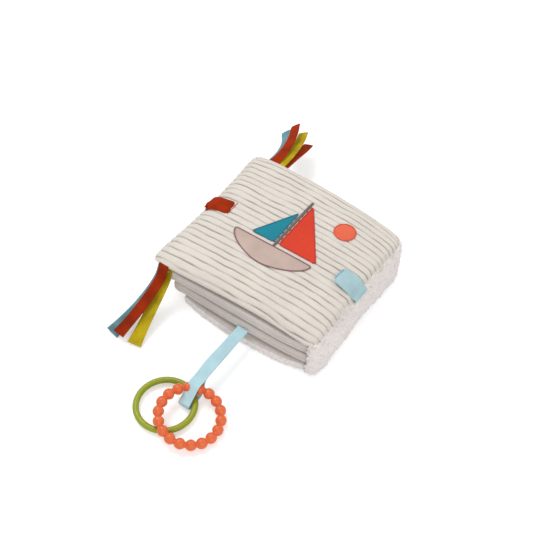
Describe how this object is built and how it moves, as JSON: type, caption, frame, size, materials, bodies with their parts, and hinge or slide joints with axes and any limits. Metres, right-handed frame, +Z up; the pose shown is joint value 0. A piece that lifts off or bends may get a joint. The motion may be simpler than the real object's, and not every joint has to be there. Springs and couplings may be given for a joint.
{
  "type": "soft baby activity book",
  "caption": "Soft baby activity book with padded cloth leaves, a corduroy cover, cloth tabs, ribbons and two rings on a satin strap.",
  "frame": {"origin": "on the ground under the middle of the front cover, below the flat back cover that the closed book lies on", "axes": "+X from the fore-edge to the spine, +Y from the near edge with the ring strap to the far edge, +Z up through the leaves"},
  "size_m": [0.2146, 0.395, 0.0615],
  "materials": {
    "corduroy_cream": "wide-wale corduroy",
    "plush_grey": "short plush",
    "page_lilac": "soft woven cloth",
    "wadding_white": "polyester wadding",
    "film_clear": "crinkle film",
    "velvet_rust": "velvet",
    "velvet_mustard": "velvet",
    "velvet_blue": "velvet",
    "satin_blue": "satin",
    "satin_taupe": "satin",
    "felt_red": "felt",
    "felt_teal": "felt",
    "felt_coral": "felt",
    "felt_grey": "felt",
    "silicone_lime": "satin silicone",
    "silicone_coral": "satin silicone"
  },
  "bodies": {
    "back_cover": {"back_plush": "plush_grey", "back_wadding": "wadding_white", "back_lining": "page_lilac", "spine_plush": "plush_grey"},
    "page_two": {"page_two_under": "page_lilac", "page_two_wadding": "wadding_white", "page_two_upper": "page_lilac", "page_two_tape": "page_lilac"},
    "page_one": {"page_one_under": "page_lilac", "page_one_wadding_lower": "wadding_white", "page_one_film": "film_clear", "page_one_wadding_upper": "wadding_white", "page_one_upper": "page_lilac", "page_one_tape": "page_lilac"},
    "front_cover": {"cover_lining": "page_lilac", "cover_wadding": "wadding_white", "cover_corduroy": "corduroy_cream", "applique_hull": "satin_taupe", "applique_mainsail": "felt_red", "applique_jib": "felt_teal", "applique_mast": "felt_grey", "applique_sun": "felt_coral", "fore_edge_tab": "velvet_rust", "spine_tab_turn": "satin_blue"},
    "spine_tab": {"spine_tab": "satin_blue"},
    "tail_ribbons": {"tail_ribbon_rust": "velvet_rust", "tail_ribbon_blue": "velvet_blue", "tail_ribbon_mustard": "velvet_mustard"},
    "head_ribbons": {"head_ribbon_blue": "velvet_blue", "head_ribbon_rust": "velvet_rust", "head_ribbon_mustard": "velvet_mustard", "head_ribbon_rust_low": "velvet_rust"},
    "ring_strap": {"ring_strap": "satin_blue"},
    "plain_ring": {"plain_ring": "silicone_lime"},
    "beaded_ring": {"beaded_ring": "silicone_coral"}
  },
  "joints": [
    {"name": "cover_open", "type": "hinge", "parent": "back_cover", "child": "front_cover", "pos_m": [0.0936, 0, 0.03075], "axis": [0, 1, 0], "range_deg": [0, 180], "deforming": ["spine_plush"]},
    {"name": "page_one_turn", "type": "hinge", "parent": "back_cover", "child": "page_one", "pos_m": [0.0936, 0, 0.03075], "axis": [0, 1, 0], "range_deg": [0, 120]},
    {"name": "page_two_turn", "type": "hinge", "parent": "back_cover", "child": "page_two", "pos_m": [0.0936, 0, 0.03075], "axis": [0, 1, 0], "range_deg": [0, 60]},
    {"name": "spine_tab_flip", "type": "hinge", "parent": "front_cover", "child": "spine_tab", "pos_m": [0.09004, -0.007, 0.0531], "axis": [0, 1, 0], "range_deg": [0, 95]},
    {"name": "tail_ribbons_swing", "type": "hinge", "parent": "front_cover", "child": "tail_ribbons", "pos_m": [-0.082, -0.08675, 0.0501], "axis": [-1, 0, 0], "range_deg": [0, 60]},
    {"name": "head_ribbons_swing", "type": "hinge", "parent": "front_cover", "child": "head_ribbons", "pos_m": [-0.0763, 0.08899, 0.0501], "axis": [1, 0, 0], "range_deg": [0, 60]},
    {"name": "strap_swing", "type": "hinge", "parent": "page_two", "child": "ring_strap", "pos_m": [0.0155, -0.09095, 0.022], "axis": [-1, 0, 0], "range_deg": [0, 50]},
    {"name": "beaded_ring_flip", "type": "hinge", "parent": "ring_strap", "child": "beaded_ring", "pos_m": [0.0155, -0.16853, 0.01267], "axis": [-0.8634, -0.483, 0.146], "range_deg": [0, 70]},
    {"name": "plain_ring_spin", "type": "hinge", "parent": "ring_strap", "child": "plain_ring", "pos_m": [0.001, -0.19548, 0.00455], "axis": [0, 0, 1], "continuous": true}
  ],
  "couplings": [
    {"joint": "page_one_turn", "follows": "cover_open", "ratio": 0.66667},
    {"joint": "page_two_turn", "follows": "cover_open", "ratio": 0.33333}
  ]
}
